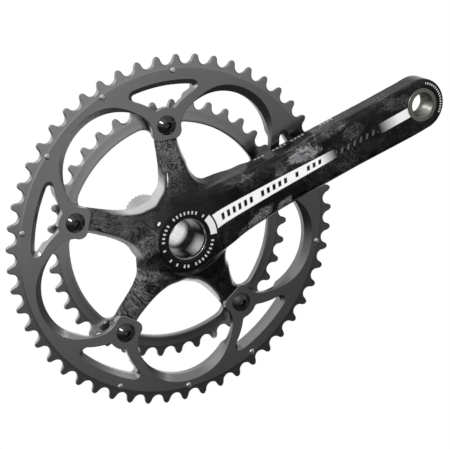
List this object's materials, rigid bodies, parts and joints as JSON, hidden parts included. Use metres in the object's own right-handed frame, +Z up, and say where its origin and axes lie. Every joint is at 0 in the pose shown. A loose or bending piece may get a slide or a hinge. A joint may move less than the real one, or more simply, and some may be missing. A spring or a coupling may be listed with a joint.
{
  "type": "bicycle crankset",
  "caption": "Drive-side crankset: carbon arm and spider, double chainring, half axle and its outboard bearing.",
  "frame": {"origin": "on the axle's axis at the middle plane of the bicycle, where the axle's toothed end meets the other half axle", "axes": "+X forwards, +Z up, +Y along the axle towards the non-drive side, so the chainrings and arm are at -Y; arm at rest 23.1 degrees above +X"},
  "size_m": [0.2839, 0.0851, 0.2179],
  "materials": {
    "carbon": "clear-coated chopped carbon fibre",
    "anodised_alloy": "satin dark grey anodised",
    "black_alloy": "gloss black anodised",
    "insert_alloy": "turned, clear anodised",
    "polished_alloy": "polished",
    "axle_steel": "ground and turned",
    "bright_steel": "ground",
    "cage_polyamide": "moulded",
    "seal_rubber": "moulded"
  },
  "bodies": {
    "bearing_housing_side": {"bearing_outer_race": "bright_steel", "bearing_seal_outboard": "seal_rubber", "bearing_seal_inboard": "seal_rubber"},
    "crank": {"carbon_arm": "carbon", "hub_sleeve": "polished_alloy", "pedal_insert": "insert_alloy", "arm_thread_insert": "insert_alloy", "big_chainring": "anodised_alloy", "small_chainring": "anodised_alloy", "shift_pins": "bright_steel", "chain_catch_pin": "bright_steel", "chainring_bolt_1": "black_alloy", "chainring_bolt_2": "black_alloy", "chainring_bolt_3": "black_alloy", "chainring_bolt_4": "black_alloy", "chainring_nut_1": "black_alloy", "chainring_nut_2": "black_alloy", "chainring_nut_3": "black_alloy", "chainring_nut_4": "black_alloy", "arm_chainring_bolt": "black_alloy", "chainring_spacer": "black_alloy", "half_axle": "axle_steel", "fixing_bolt": "black_alloy", "fixing_bolt_washer": "bright_steel", "bearing_inner_race": "bright_steel"},
    "ball_train": {"bearing_balls": "bright_steel", "bearing_cage": "cage_polyamide"}
  },
  "joints": [
    {"name": "crank_spin", "type": "hinge", "parent": "bearing_housing_side", "child": "crank", "pos_m": [0, -0.042, 0], "axis": [0, 1, 0], "continuous": true},
    {"name": "ball_train_spin", "type": "hinge", "parent": "bearing_housing_side", "child": "ball_train", "pos_m": [0, -0.042, 0], "axis": [0, 1, 0], "continuous": true}
  ],
  "couplings": [
    {"joint": "ball_train_spin", "follows": "crank_spin", "ratio": 0.436}
  ]
}
